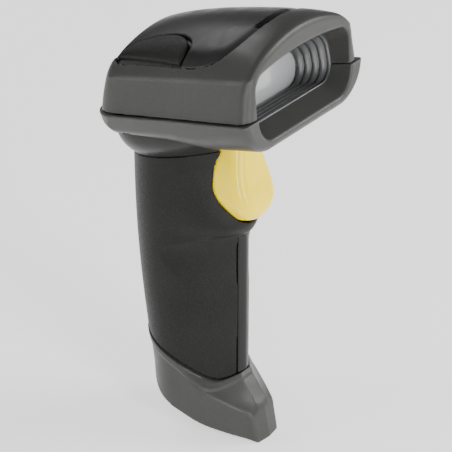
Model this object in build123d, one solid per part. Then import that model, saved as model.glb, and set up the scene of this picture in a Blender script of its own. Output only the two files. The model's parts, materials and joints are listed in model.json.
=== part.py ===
from build123d import *
import math
import os

os.makedirs("parts", exist_ok=True)

# Handheld barcode scanner, millimetres. +Z is up along the handle, -Y is the scanning direction and the
# object is mirror-symmetric about X = 0. The origin is at the bottom centre of the object's box.

# ---------------------------------------------------------------- driving dimensions
HEAD_PITCH = 13.5            # degrees the head is tipped up at its front
HEAD_Y, HEAD_Z = -34.5, 144.25   # parting line of the head at its front face
HEAD_LENGTH = 71.5           # front face to back wall
WALL = 2.0                   # moulded wall of every shell
ROOF = 3.4                   # head roof where the cover is let in
COVER_T = 1.6                # thickness of the top cover
GAP = 0.3                    # visible seam between mouldings
LOWER_PROUD = 1.4            # ledge of the lower housing round the upper one

# Head stations from front to back: (distance, half width, lower crease, upper crease, crown height)
HEAD_STATIONS = [
    (-7.0, 32.7, 12.8, 16.2, 22.2),
    (0.0, 32.5, 12.7, 16.0, 25.0),
    (9.0, 32.3, 12.6, 15.9, 26.3),
    (25.0, 31.4, 12.4, 15.7, 26.6),
    (42.0, 30.7, 12.1, 15.2, 25.8),
    (57.0, 30.1, 11.8, 14.7, 23.6),
    (74.0, 29.3, 11.2, 13.8, 18.6),
]
SIDE_DRAFT_LOW = 2.6         # how far the side wall leans in up to the lower crease
SIDE_DRAFT_HIGH = 3.9        # and up to the upper crease
BACK_TAPER = 11.0            # degrees the rounded back corners lean in

# Lower housing stations: (distance, half width, depth below the parting line)
TRAY_STATIONS = [
    (-7.0, 34.1, 12.9),
    (12.0, 33.7, 12.7),
    (24.0, 32.9, 11.8),
    (36.0, 32.3, 10.1),
    (50.0, 31.8, 8.5),
    (75.0, 30.6, 7.8),
]

# Mouth of the scanning window
MOUTH_HALF_W = 26.6
MOUTH_SLOPE = 0.169          # forward lean of the front face, per mm of height
FUNNEL_S = 7.6               # where the ribbed funnel starts behind the front face
FUNNEL_STEPS = 5
FUNNEL_PITCH = 2.0
WINDOW_HALF_W = 18.0
WINDOW_LOW, WINDOW_HIGH = -3.8, 9.8
WINDOW_S = FUNNEL_S + FUNNEL_STEPS * FUNNEL_PITCH

# Handle stations: (height, half width, back of the handle, front of the nose)
HANDLE_STATIONS = [
    (126.0, 17.3, 34.3, -10.9),
    (84.0, 17.0, 34.0, -10.9),
    (54.0, 16.4, 31.9, -10.8),
    (19.0, 15.5, 27.6, -10.6),
]
NOSE_HALF_W = 3.2
STRIP_TOP = 82.0

# Trigger stations from the top down: (height, half width, front face)
TRIGGER_STATIONS = [
    (128.0, 7.4, -12.5),
    (118.0, 8.0, -13.9),
    (110.0, 9.3, -14.9),
    (103.5, 10.1, -16.4),
    (98.4, 9.9, -18.0),
    (94.0, 8.5, -18.4),
    (91.0, 6.6, -17.4),
    (89.0, 4.4, -15.4),
    (88.0, 2.4, -12.8),
]
TRIGGER_BACK = -3.0          # its skirt ends inside the handle
TRIGGER_GAP = 0.45           # round the skirt, where it enters the handle
PIVOT_Y, PIVOT_Z = -12.5, 131.3
PIN_R = 1.2
PIN_HOLE_R = 1.26
SPRING_Z = 96.8              # return spring, running front to back
SPRING_FRONT, SPRING_BACK = -1.6, 6.6
COILS = 6

# Fasteners
SCREW_R = 1.0
SCREW_HEAD_R = 1.9
HEAD_SCREWS = [(-25.0, 30.0, -8.2), (25.0, 30.0, -8.2), (-26.0, 57.0, -5.6), (26.0, 57.0, -5.6)]
FOOT_SCREWS = [(-11.6, 13.0), (11.6, 13.0)]

# Foot
FOOT_SLOPE = 15.0            # degrees the underside rises towards the back
FOOT_FACE_Y, FOOT_FACE_Z = -19.0, 0.6

# ---------------------------------------------------------------- frames
HEAD = Plane(
    origin=(0, HEAD_Y, HEAD_Z),
    x_dir=(1, 0, 0),
    z_dir=(0, math.sin(math.radians(HEAD_PITCH)), math.cos(math.radians(HEAD_PITCH))),
).location


def across(s):
    """Plane across the head at a distance s behind its front, drawn in (x, height)."""
    return Plane(origin=(0, s, 0), x_dir=(1, 0, 0), z_dir=(0, -1, 0))


def side(x=0.0):
    """Plane along the object, drawn in (y, z)."""
    return Plane(origin=(x, 0, 0), x_dir=(0, 1, 0), z_dir=(1, 0, 0))


def level(z):
    return Plane.XY.offset(z)


def block(x, y, z):
    """Box between two corners given as (low, high) on each axis."""
    centre = ((x[0] + x[1]) / 2, (y[0] + y[1]) / 2, (z[0] + z[1]) / 2)
    return Pos(*centre) * Box(x[1] - x[0], y[1] - y[0], z[1] - z[0])


def rod(radius, start, end):
    """Cylinder between two points."""
    axis = Vector(*end) - Vector(*start)
    disc = Plane(origin=start, z_dir=axis) * Circle(radius)
    return extrude(disc, axis.length)


def side_prism(outline, half_width):
    """Solid of a side view outline, spread to both sides of the middle."""
    return extrude(side(-half_width) * make_face(outline), 2 * half_width)


def save(shape, name):
    solids = shape.solids()
    part = solids[0] if len(solids) == 1 else Compound(children=list(solids))
    part.label = name
    export_step(part, f"parts/{name}.step")
    return part


# ---------------------------------------------------------------- head outlines
def head_section(station, side_in=0.0, top_in=0.0, floor=0.0):
    s, half, low, high, crown = station
    foot = half - side_in
    mid = half - SIDE_DRAFT_LOW - side_in
    top = half - SIDE_DRAFT_HIGH - side_in
    walls = Polyline(
        (-top, high - top_in),
        (-mid, low - top_in),
        (-foot, floor),
        (foot, floor),
        (mid, low - top_in),
        (top, high - top_in),
    )
    roof = ThreePointArc((top, high - top_in), (0, crown - top_in), (-top, high - top_in))
    return across(s) * make_face(walls + roof)


def head_block(side_in=0.0, top_in=0.0, floor=0.0):
    return loft([head_section(station, side_in, top_in, floor) for station in HEAD_STATIONS])


def tray_section(station, side_in=0.0, floor_in=0.0, top=0.0):
    s, half, depth = station
    upper = half - side_in
    lower = half - side_in - 3.2
    bottom = -depth + floor_in
    corner_points = [(-upper, top), (-lower, bottom), (lower, bottom), (upper, top)]
    outline = make_face(Polyline(*corner_points, close=True))
    corners = outline.vertices().group_by(Axis.Y)[0]
    return across(s) * fillet(corners, 6.0 - floor_in)


def tray_block(side_in=0.0, floor_in=0.0, top=0.0):
    return loft([tray_section(station, side_in, floor_in, top) for station in TRAY_STATIONS])


def plan_block(front_half, back_half, back, radius, low, high, taper=0.0):
    """Plan outline of the head with round back corners, as a tall prism that may lean in."""
    outline = make_face(
        Polyline((-front_half, -12), (front_half, -12), (back_half, back), (-back_half, back), close=True)
    )
    corners = outline.vertices().group_by(Axis.Y)[-1]
    return extrude(level(low) * fillet(corners, radius), high - low, taper=taper)


def front_cutter(start):
    """Everything in front of the leaning front face."""
    plane = Plane(origin=(0, start, 0), x_dir=(1, 0, 0), z_dir=(0, -1, -MOUTH_SLOPE))
    return plane.location * Pos(0, 0, 50) * Box(120, 120, 100)


def mouth_section(s, half, low, high, arch, radius):
    outline = make_face(
        Polyline((-half, high - arch), (-half, low), (half, low), (half, high - arch))
        + ThreePointArc((half, high - arch), (0, high), (-half, high - arch))
    )
    return across(s) * fillet(outline.vertices(), radius)


def mouth_cutter():
    """Tapering opening from the front face back to the ribbed funnel."""
    outer = mouth_section(-10.0, MOUTH_HALF_W + 0.4, -18.4, 19.0, 3.0, 4.5)
    inner = mouth_section(FUNNEL_S, MOUTH_HALF_W - 0.3, -4.8, 13.4, 2.4, 4.5)
    return loft([outer, inner])


def roof_profile(lift=0.0):
    """Side view of the head with its round back corner, as a wide prism."""
    back = HEAD_LENGTH
    outline = (
        Line((-15, -1), (back, -1))
        + Line((back, -1), (back - 3.4, 9.5))
        + ThreePointArc((back - 3.4, 9.5), (back - 5.8, 15.4), (back - 12.0, 21.6 + lift))
        + Line((back - 12.0, 21.6 + lift), (back - 12.0, 40))
        + Line((back - 12.0, 40), (-15, 40))
        + Line((-15, 40), (-15, -1))
    )
    return side_prism(outline, 45)


def cover_outline(grow=0.0):
    """Plan view of the top cover: broad at the back, with a narrower nose at the front."""
    g = grow
    right = Spline(
        (0, 5.9 - g),
        (7.5, 6.5 - g),
        (14.0 + g * 0.5, 7.8 - g),
        (20.6 + g * 0.8, 10.8 - g * 0.6),
        (25.0 + g, 17.0),
        (26.0 + g, 26.0),
        tangents=((1, 0), (0, 1)),
    )
    flank = Line((26.0 + g, 26.0), (23.4 + g, 56.0))
    corner = ThreePointArc((23.4 + g, 56.0), (21.6 + g, 60.6 + g * 0.7), (17.5, 62.6 + g))
    back = Line((17.5, 62.6 + g), (0, 63.4 + g))
    half = right + flank + corner + back
    return make_face(half + mirror(half, Plane.YZ))


def pad_outline(x_sign, grow=0.0, stretch=0.0):
    """Plan view of a teardrop side pad."""
    g = grow
    k = x_sign
    edge = Spline(
        (k * (20.8 + g), 60.4 + g),
        (k * (17.2 - g), 58.6 + g),
        (k * (14.4 - g), 52.5),
        (k * (13.2 - g), 43.0),
        (k * (14.6 - g), 34.6 - stretch),
        (k * (19.0 - g * 0.5), 29.8 - g - stretch),
        (k * (24.4 + g), 30.4 - g - stretch * 0.5),
    )
    closing = Line((k * (24.4 + g), 30.4 - g - stretch * 0.5), (k * (20.8 + g), 60.4 + g))
    return make_face(edge + closing)


# ---------------------------------------------------------------- head shells
def make_head_envelope():
    body = head_block() & plan_block(36.0, 29.8, HEAD_LENGTH, 13.0, -1, 30, BACK_TAPER) & roof_profile()
    return body - front_cutter(0.25)


def roof_skin(outer_in, inner_in):
    """Slice of the roof between two depths below its surface."""
    return head_block(outer_in * 0.5, outer_in) - head_block(inner_in * 0.5, inner_in)


envelope = make_head_envelope()
cover_slab = roof_skin(0.0, COVER_T) & roof_profile()
cover_well = roof_skin(-1.0, COVER_T + 0.1)

cavity = head_block(WALL, ROOF, -1.0) & plan_block(36.0, 27.6, HEAD_LENGTH - WALL, 11.5, -2, 30, BACK_TAPER)
cavity = cavity & block((-40, 40), (FUNNEL_S, HEAD_LENGTH - WALL), (-2, 40))
cavity = cavity & (Pos(0, -WALL, -1.0) * roof_profile())

mouth = mouth_cutter()
light_slot = block((-8.8, 8.8), (4.9, 9.4), (18, 30))
light_leg_slot = block((-7.0, 7.0), (7.8, 9.2), (18, 30))

upper = envelope - cavity - mouth
upper = upper - (extrude(level(10) * cover_outline(GAP), 30) & cover_well)
upper = upper - light_leg_slot
engine_room = block((-27.4, 27.4), (FUNNEL_S, 21.0), (-2, 15.6))
upper = upper - engine_room
for x, s, seat in HEAD_SCREWS:
    post = extrude(level(0.02) * Pos(x, s) * Circle(2.6), 13.5) & envelope
    pilot = extrude(level(-1) * Pos(x, s) * Circle(SCREW_R), 10)
    upper = upper + post - pilot
save(HEAD * upper, "upper_housing")

cover = extrude(level(10) * cover_outline(), 30) & cover_slab
for sign in (-1, 1):
    cover = cover - extrude(level(10) * pad_outline(sign, 0.0, 1.2), 30)
cover = cover - light_slot
save(HEAD * cover, "top_cover")

# Side pads stand a little proud of the cover and leave a crescent opening at their front end
pad_slab = roof_skin(-0.35, COVER_T - 0.2) & roof_profile(0.35)
for sign, name in ((1, "left"), (-1, "right")):
    pad = extrude(level(10) * pad_outline(sign, -GAP), 30) & pad_slab
    save(HEAD * pad, f"side_pad_{name}")

# ---------------------------------------------------------------- lower housing
tray_side = (
    Line((-15, 2), (HEAD_LENGTH + 1.2, 2))
    + Line((HEAD_LENGTH + 1.2, 2), (HEAD_LENGTH + 1.2, -2.0))
    + ThreePointArc((HEAD_LENGTH + 1.2, -2.0), (HEAD_LENGTH - 0.4, -5.6), (HEAD_LENGTH - 4.0, -8.4))
    + Polyline((HEAD_LENGTH - 4.0, -8.4), (HEAD_LENGTH - 4.0, -20.0), (-15, -20.0), (-15, 2))
)
tray = tray_block() & plan_block(35.4, 30.7, HEAD_LENGTH + 1.2, 14.0, -20, 1) & side_prism(tray_side, 45)
tray = tray - front_cutter(-0.35)
tray_cavity = tray_block(WALL + 0.4, WALL, 1.0) & plan_block(35.4, 28.4, HEAD_LENGTH - 3.2, 12.0, -20, 2)
tray_cavity = tray_cavity & block((-40, 40), (FUNNEL_S, HEAD_LENGTH - 3.2), (-20, 2))
neck_opening = extrude(level(-16) * Pos(0, 46) * RectangleRounded(26, 34, 8), 12)
trigger_opening = block((-9.2, 9.2), (15.0, 36.0), (-16, -6))
lug_holes = rod(PIN_R, (-12, PIVOT_Y, PIVOT_Z), (12, PIVOT_Y, PIVOT_Z))


def lug(x_low, x_high):
    """Ear on the floor of the lower housing that holds the trigger's pivot pin."""
    return block((x_low, x_high), (PIVOT_Y - 2.8, PIVOT_Y + 2.8), (PIVOT_Z - 3.2, PIVOT_Z + 2.2))


lower = tray - tray_cavity - mouth - neck_opening - trigger_opening
lower = HEAD * (lower - block((-27.4, 27.4), (FUNNEL_S, 21.0), (-7.4, 2)))
lower = lower + lug(9.4, 11.6) + lug(-11.6, -9.4) - lug_holes
for x, s, seat in HEAD_SCREWS:
    boss = extrude(level(seat - 2.0) * Pos(x, s) * Circle(3.1), -0.02 - seat + 2.0) & tray
    lower = lower + HEAD * boss
    lower = lower - HEAD * (extrude(level(-20) * Pos(x, s) * Circle(SCREW_HEAD_R + 0.2), 20 + seat))
    lower = lower - HEAD * (extrude(level(-20) * Pos(x, s) * Circle(1.25), 25))
BOSSES = [(-20.0, 42.5), (20.0, 42.5), (-20.0, 62.5), (20.0, 62.5)]
for x, s in BOSSES:
    post = extrude(level(-9.0) * Pos(x, s) * Circle(3.0), 7.4) & tray
    pilot = extrude(level(-12.0) * Pos(x, s) * Circle(1.0), 12)
    lower = lower + HEAD * post - HEAD * pilot
save(lower, "lower_housing")

# ---------------------------------------------------------------- scanning window and funnel
funnel = block((-27.2, 27.2), (FUNNEL_S + 0.05, WINDOW_S + 2.6), (-7.2, 15.4))
for i in range(FUNNEL_STEPS):
    shrink = i / FUNNEL_STEPS
    half = MOUTH_HALF_W - 0.5 - shrink * (MOUTH_HALF_W - WINDOW_HALF_W - 0.6)
    low = -4.8 + shrink * (WINDOW_LOW + 4.2)
    high = 13.3 - shrink * (13.3 - WINDOW_HIGH + 0.2)
    start = FUNNEL_S + i * FUNNEL_PITCH - (1.0 if i == 0 else 0.0)
    ring = mouth_section(start, half, low, high, 1.6, 3.6)
    funnel = funnel - extrude(ring, -(FUNNEL_S + (i + 1) * FUNNEL_PITCH - start + 0.01))
seat = mouth_section(WINDOW_S - 0.05, WINDOW_HALF_W + 2.0, WINDOW_LOW - 1.6, WINDOW_HIGH + 1.6, 1.0, 3.0)
funnel = funnel - extrude(seat, -10)
for x in (-7.0, 7.0):
    funnel = funnel + block((x - 1.5, x + 1.5), (10.0, 14.5), (15.3, 17.55))
save(HEAD * funnel, "scan_bezel")

pane = mouth_section(WINDOW_S, WINDOW_HALF_W + 1.7, WINDOW_LOW - 1.3, WINDOW_HIGH + 1.3, 1.0, 2.8)
save(HEAD * extrude(pane, -1.5), "scan_window")

GASKET_S = WINDOW_S + 1.5
gasket_outside = mouth_section(GASKET_S, WINDOW_HALF_W + 1.7, WINDOW_LOW - 1.3, WINDOW_HIGH + 1.3, 1.0, 2.8)
gasket_inside = mouth_section(GASKET_S, WINDOW_HALF_W, WINDOW_LOW, WINDOW_HIGH, 1.0, 2.2)
gasket = extrude(gasket_outside, -1.0) - extrude(gasket_inside, -1.0)
save(HEAD * gasket, "window_gasket")

# ---------------------------------------------------------------- reading engine
ENGINE_S = WINDOW_S + 4.2
ENGINE_N = 3.6
bracket = block((-13.0, 13.0), (ENGINE_S, ENGINE_S + 16.0), (ENGINE_N - 7.6, ENGINE_N - 6.4))
bracket = bracket + block((-13.0, -11.8), (ENGINE_S, ENGINE_S + 16.0), (ENGINE_N - 7.6, ENGINE_N + 4.0))
bracket = bracket + block((11.8, 13.0), (ENGINE_S, ENGINE_S + 16.0), (ENGINE_N - 7.6, ENGINE_N + 4.0))
bracket = bracket + block((-18.5, 18.5), (ENGINE_S + 4.0, ENGINE_S + 12.0), (ENGINE_N - 7.6, ENGINE_N - 6.4))
save(HEAD * bracket, "engine_bracket")

camera = block((-11.6, 11.6), (ENGINE_S + 0.4, ENGINE_S + 13.0), (ENGINE_N - 6.3, ENGINE_N + 6.3))
lens_bore = rod(4.6, (2.5, ENGINE_S - 1, ENGINE_N), (2.5, ENGINE_S + 9, ENGINE_N))
led_pocket = block((-9.8, -4.4), (ENGINE_S - 1, ENGINE_S + 3.0), (ENGINE_N - 4.6, ENGINE_N + 4.6))
aimer_bore = rod(1.3, (9.4, ENGINE_S - 1, ENGINE_N), (9.4, ENGINE_S + 6, ENGINE_N))
save(HEAD * (camera - lens_bore - led_pocket - aimer_bore), "camera_body")

barrel = rod(4.55, (2.5, ENGINE_S - 0.6, ENGINE_N), (2.5, ENGINE_S + 8.6, ENGINE_N))
barrel = barrel - rod(3.0, (2.5, ENGINE_S - 1, ENGINE_N), (2.5, ENGINE_S + 9, ENGINE_N))
save(HEAD * barrel, "lens_barrel")
save(HEAD * rod(2.98, (2.5, ENGINE_S + 0.6, ENGINE_N), (2.5, ENGINE_S + 2.4, ENGINE_N)), "camera_lens")

leds = block((-9.4, -4.8), (ENGINE_S + 1.0, ENGINE_S + 2.9), (ENGINE_N - 4.2, ENGINE_N - 0.4))
leds = leds + block((-9.4, -4.8), (ENGINE_S + 1.0, ENGINE_S + 2.9), (ENGINE_N + 0.4, ENGINE_N + 4.2))
save(HEAD * leds, "illumination_leds")
save(HEAD * rod(1.25, (9.4, ENGINE_S - 0.2, ENGINE_N), (9.4, ENGINE_S + 5.6, ENGINE_N)), "aiming_lamp")

engine_board = block((-11.6, 11.6), (ENGINE_S + 13.2, ENGINE_S + 14.2), (ENGINE_N - 6.2, ENGINE_N + 6.6))
save(HEAD * engine_board, "engine_board")

# ---------------------------------------------------------------- electronics in the head
BOARD_N = -1.6
board = extrude(level(BOARD_N) * Pos(0, 52.5) * RectangleRounded(45, 27, 2), 1.2)
for x, s in BOSSES:
    board = board - extrude(level(BOARD_N - 1) * Pos(x, s) * Circle(1.3), 4)
save(HEAD * board, "main_board")

chips = block((-8.0, 6.0), (46.0, 60.0), (BOARD_N + 1.2, BOARD_N + 2.6))
save(HEAD * chips, "processor_chip")
radio = block((-20.0, -10.0), (47.0, 57.0), (BOARD_N + 1.2, BOARD_N + 3.2))
save(HEAD * radio, "radio_module")
save(HEAD * extrude(level(BOARD_N + 1.2) * Pos(14.0, 50.0) * Circle(5.0), 4.2), "beeper")

ribbon = block((-5.0, 5.0), (ENGINE_S + 14.3, ENGINE_S + 14.5), (BOARD_N + 1.5, ENGINE_N + 3.0))
ribbon = ribbon + block((-5.0, 5.0), (ENGINE_S + 14.3, 42.5), (BOARD_N + 1.3, BOARD_N + 1.5))
save(HEAD * ribbon, "engine_ribbon")

# Light bar in the front edge of the cover, with a leg that reaches the lamps below the roof
light = (block((-8.6, 8.6), (5.1, 9.2), (18, 30)) & extrude(level(10) * cover_outline(), 30) & cover_slab)
light = light + block((-6.8, 6.8), (7.9, 9.1), (21.4, 24.6))
save(HEAD * light, "status_light_bar")

led_board = block((-9.0, 9.0), (8.0, 16.0), (17.6, 18.6))
save(HEAD * led_board, "status_led_board")
lamps = [block((x - 1.0, x + 1.0), (8.1, 9.3), (18.62, 19.6)) for x in (-5.0, 0.0, 5.0)]
save(HEAD * Compound(children=lamps), "status_lamps")

fixings = []
for x, s in BOSSES:
    shank = rod(SCREW_R - 0.05, (x, s, -7.5), (x, s, 0))
    fixings.append(shank + rod(SCREW_HEAD_R, (x, s, -0.35), (x, s, 0.9)))
save(HEAD * Compound(children=fixings), "board_screws")
fixings = []
for x, s, seat in HEAD_SCREWS:
    head = rod(SCREW_HEAD_R, (x, s, seat - 1.6), (x, s, seat - 0.02))
    fixings.append(head + rod(SCREW_R - 0.02, (x, s, seat - 0.5), (x, s, 7.5)))
save(HEAD * Compound(children=fixings), "head_screws")

# ---------------------------------------------------------------- neck collar
def grip_section(plane, half, back, nose, nose_half=NOSE_HALF_W, square=0.0):
    """Handle section: a round back, flanks that taper forward and a narrow rounded nose."""
    centre = back - half
    depth = centre - nose
    corner = half * (math.sqrt(0.5) + square)
    right = Spline(
        (half, centre),
        (half * 0.9, centre - depth * 0.36),
        (half * 0.65, centre - depth * 0.68),
        (nose_half, nose + 0.7),
        tangents=((0, -1), (-1, -0.75)),
    )
    tip = ThreePointArc((nose_half, nose + 0.7), (0, nose), (-nose_half, nose + 0.7))
    spine = Spline(
        (-half, centre),
        (-corner, centre + corner),
        (0, back),
        (corner, centre + corner),
        (half, centre),
        tangents=((0, 1), (0, -1)),
    )
    left = mirror(right, Plane.YZ)
    return plane * make_face(right + tip + left + spine)


def grip_block(side_in=0.0):
    sections = []
    for z, half, back, nose in HANDLE_STATIONS:
        nose_half = NOSE_HALF_W - side_in * 0.5
        sections.append(grip_section(level(z), half - side_in, back - side_in, nose + side_in, nose_half))
    return loft(sections)


COLLAR_N = -20.2             # plane where the collar meets the handle


def collar_block(inset):
    top = grip_section(level(-7.0), 24.6 - inset, 71.6 - inset, 20.0 + inset, 9.0, 0.16)
    middle = grip_section(level(-13.5), 23.2 - inset, 73.6 - inset, 24.0 + inset, 7.5, 0.10)
    low = grip_section(level(-17.6), 20.4 - inset, 75.2 - inset, 27.4 + inset, 5.0, 0.03)
    bottom = grip_section(level(COLLAR_N), 17.3 - inset, 75.4 - inset, 29.1 + inset, NOSE_HALF_W)
    return loft([top, middle, low, bottom])


def trigger_section(z, half, front, back):
    """Plan section of the trigger, with round front corners."""
    outline = make_face(Polyline((-half, back), (-half, front), (half, front), (half, back), close=True))
    corners = outline.vertices().group_by(Axis.Y)[0]
    return level(z) * fillet(corners, min(4.8, 0.55 * half))


trigger_slot = loft(
    [trigger_section(z - TRIGGER_GAP, half + TRIGGER_GAP, -40.0, 2.4) for z, half, _ in TRIGGER_STATIONS],
    ruled=True,
)
window_back = Spline(
    (-14.0, 87.4),
    (-11.8, 87.5),
    (-8.2, 89.2),
    (-5.1, 93.1),
    (-2.9, 98.4),
    (-2.3, 103.6),
    (-3.7, 112.2),
    (-5.5, 118.2),
    (-6.0, 131.0),
)
window_rest = Polyline((-6.0, 131.0), (-45.0, 131.0), (-45.0, 87.4), (-14.0, 87.4))
trigger_window = side_prism(window_back + window_rest, 40)

collar = collar_block(0.0) - collar_block(WALL)
lower_clearance = tray_block(-GAP, -GAP - 0.1)
collar = collar - lower_clearance - block((-40, 40), (0, 90), (-7.5, 10))
collar = HEAD * (collar & block((-40, 40), (10, 90), (COLLAR_N, 0)))
collar = collar - trigger_window - trigger_slot
save(collar, "neck_collar")

# ---------------------------------------------------------------- handle
foot_saddle = Spline(
    (40.0, 42.0),
    (27.5, 36.5),
    (14.5, 31.6),
    (5.5, 27.6),
    (-1.0, 24.0),
    (-5.0, 23.0),
    (-9.0, 24.6),
    (-20.0, 31.0),
    tangents=((-1, -0.45), (-1, 0.6)),
)
above_foot = side_prism(
    foot_saddle + Polyline((-20.0, 31.0), (-45.0, 31.0), (-45.0, 150.0), (40.0, 150.0), (40.0, 42.0)), 40
)
below_collar = HEAD * block((-45, 45), (-20, 110), (-150, COLLAR_N))

grip = (grip_block() - grip_block(WALL)) & above_foot & below_collar
strip_zone = block((-NOSE_HALF_W + 0.2, NOSE_HALF_W - 0.2), (-30, -8.6), (10, STRIP_TOP))
grip_rear = grip - block((-NOSE_HALF_W, NOSE_HALF_W), (-30, -6), (0, STRIP_TOP + 0.25))
grip_rear = grip_rear - trigger_slot
chin = loft([
    grip_section(level(98.0), 16.8, 33.5, -10.4, 4.0),
    grip_section(level(89.0), 16.8, 33.5, -12.6, 5.6),
    grip_section(level(86.0), 16.8, 33.5, -12.3, 5.4),
    grip_section(level(82.5), 16.4, 33.5, -10.4, 3.2),
])
chin = (chin - grip_block(0.6)) & block((-20, 20), (-30, 2), (80, 97))
chin = chin - trigger_slot
grip_rear = grip_rear + chin
for x, y in FOOT_SCREWS:
    post = rod(2.6, (x, y, 20.0), (x, y, 38.0)) & above_foot & grip_block(0.5)
    grip_rear = grip_rear + post - rod(SCREW_R, (x, y, 20.0), (x, y, 40.0))
save(grip_rear, "handle_shell")
save(grip & strip_zone, "handle_front_strip")

# ---------------------------------------------------------------- foot
def foot_section(y, half, low, shoulder, top, flare=0.4):
    outline = Polyline((-half, shoulder), (-half - flare, low), (half + flare, low), (half, shoulder))
    crown = ThreePointArc((half, shoulder), (0, top), (-half, shoulder))
    plane = Plane(origin=(0, y, 0), x_dir=(1, 0, 0), z_dir=(0, -1, 0))
    return plane * make_face(outline + crown)


toe = loft([
    foot_section(-24.0, 5.0, -4.0, 6.0, 7.5),
    foot_section(-17.3, 7.4, -4.0, 13.0, 14.7),
    foot_section(-13.5, 9.5, -4.0, 15.2, 20.0),
    foot_section(-9.7, 11.6, -4.0, 17.4, 25.4),
    foot_section(-2.1, 15.0, -4.0, 22.6, 35.0),
    foot_section(4.8, 15.9, -4.0, 27.0, 39.0, 0.1),
    foot_section(11.9, 16.1, -4.0, 33.0, 42.0, -0.4),
])
column = loft([
    grip_section(level(45.0), 16.4, 31.4, -10.9),
    grip_section(level(26.0), 16.0, 27.9, -10.9),
    grip_section(level(-4.0), 15.6, 26.4, -10.9),
])
column = column & block((-20, 20), (0, 40), (-10, 60))
foot_under = make_face(
    Line((-21.0, 0.0), (FOOT_FACE_Y, FOOT_FACE_Z))
    + Line((FOOT_FACE_Y, FOOT_FACE_Z), (9.0, 8.1))
    + Spline((9.0, 8.1), (20.0, 12.2), (25.6, 17.5), (27.4, 25.0), tangents=((1, 0.268), (0.1, 1)))
    + Polyline((27.4, 25.0), (27.4, 60.0), (-40.0, 60.0), (-40.0, 0.0), (-21.0, 0.0))
)
foot_under = extrude(side(-40) * foot_under, 80)
toe_face = make_face(Polyline((-30, -60), (30, -60), (30, -16.9), (0, -20.9), (-30, -16.9), close=True))
toe_face = extrude(level(0) * toe_face, 60, dir=(0, 0.24, 1))
under_saddle = side_prism(
    foot_saddle + Polyline((-20.0, 31.0), (-45.0, 31.0), (-45.0, -10.0), (40.0, -10.0), (40.0, 42.0)), 40
)
foot = ((toe + column) & foot_under & under_saddle) - toe_face

FOOT = Plane(
    origin=(0, FOOT_FACE_Y, FOOT_FACE_Z),
    x_dir=(1, 0, 0),
    z_dir=(0, -math.sin(math.radians(FOOT_SLOPE)), math.cos(math.radians(FOOT_SLOPE))),
).location
FOOT_FLOOR = 3.4
foot_hollow = loft([
    grip_section(level(50.0), 14.4, 30.0, -8.6),
    grip_section(level(26.0), 13.8, 25.7, -8.6),
    grip_section(level(2.0), 13.4, 24.0, -8.6),
])
foot_hollow = foot_hollow & (FOOT * block((-40, 40), (-30, 80), (FOOT_FLOOR, 80)))
foot = foot - foot_hollow
CONTACT_T = 21.8
CONTACTS = (-6.6, -2.2, 2.2, 6.6)
for x in CONTACTS:
    foot = foot - FOOT * rod(1.55, (x, CONTACT_T, -2), (x, CONTACT_T, 8))
for x, y in FOOT_SCREWS:
    foot = foot + (rod(3.0, (x, y, 12.5), (x, y, 29.0)) & under_saddle)
    foot = foot - rod(SCREW_HEAD_R + 0.2, (x, y, 0), (x, y, 15.0)) - rod(1.25, (x, y, 10), (x, y, 40))
save(foot, "foot_cap")

contacts = [FOOT * rod(1.5, (x, CONTACT_T, 0.1), (x, CONTACT_T, FOOT_FLOOR + 0.05)) for x in CONTACTS]
save(Compound(children=contacts), "charging_contacts")
contact_board = block((-8.6, 8.6), (CONTACT_T - 2.3, CONTACT_T + 4.0), (FOOT_FLOOR + 0.1, FOOT_FLOOR + 1.1))
save(FOOT * contact_board, "contact_board")

fixings = []
for x, y in FOOT_SCREWS:
    shank = rod(SCREW_R - 0.05, (x, y, 14.5), (x, y, 37.0))
    fixings.append(rod(SCREW_HEAD_R, (x, y, 13.4), (x, y, 14.95)) + shank)
save(Compound(children=fixings), "foot_screws")

# ---------------------------------------------------------------- trigger
blade = loft(
    [trigger_section(z, half, front, TRIGGER_BACK) for z, half, front in TRIGGER_STATIONS],
    ruled=True,
)
blade = blade - HEAD * block((-40, 40), (0, 60), (-13.3, 5))
stem = block((-6.5, 6.5), (PIVOT_Y - 0.4, PIVOT_Y + 5.5), (119.0, PIVOT_Z))
stem = stem + rod(2.8, (-8.4, PIVOT_Y, PIVOT_Z), (8.4, PIVOT_Y, PIVOT_Z))
push_pad = block((-2.2, 2.2), (-5.0, 1.7), (102.5, 107.0))
spring_boss = rod(3.2, (0, -4, SPRING_Z), (0, -2.4, SPRING_Z))
trigger = blade + stem + push_pad + spring_boss
trigger = trigger - rod(PIN_HOLE_R, (-20, PIVOT_Y, PIVOT_Z), (20, PIVOT_Y, PIVOT_Z))
save(trigger, "trigger")
save(rod(PIN_R - 0.005, (-11.5, PIVOT_Y, PIVOT_Z), (11.5, PIVOT_Y, PIVOT_Z)), "trigger_pivot_pin")

# ---------------------------------------------------------------- inside the handle
CELL_R, CELL_LENGTH = 9.1, 48.0
CELL_Y, CELL_Z = 16.0, 40.0


def tube(outer, inner, start, end):
    return rod(outer, start, end) - rod(inner, start, end)


cell = rod(CELL_R, (0, CELL_Y, CELL_Z), (0, CELL_Y, CELL_Z + CELL_LENGTH))
cell = cell + rod(3.0, (0, CELL_Y, CELL_Z + CELL_LENGTH), (0, CELL_Y, CELL_Z + CELL_LENGTH + 1.0))
save(cell, "battery_cell")

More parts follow.
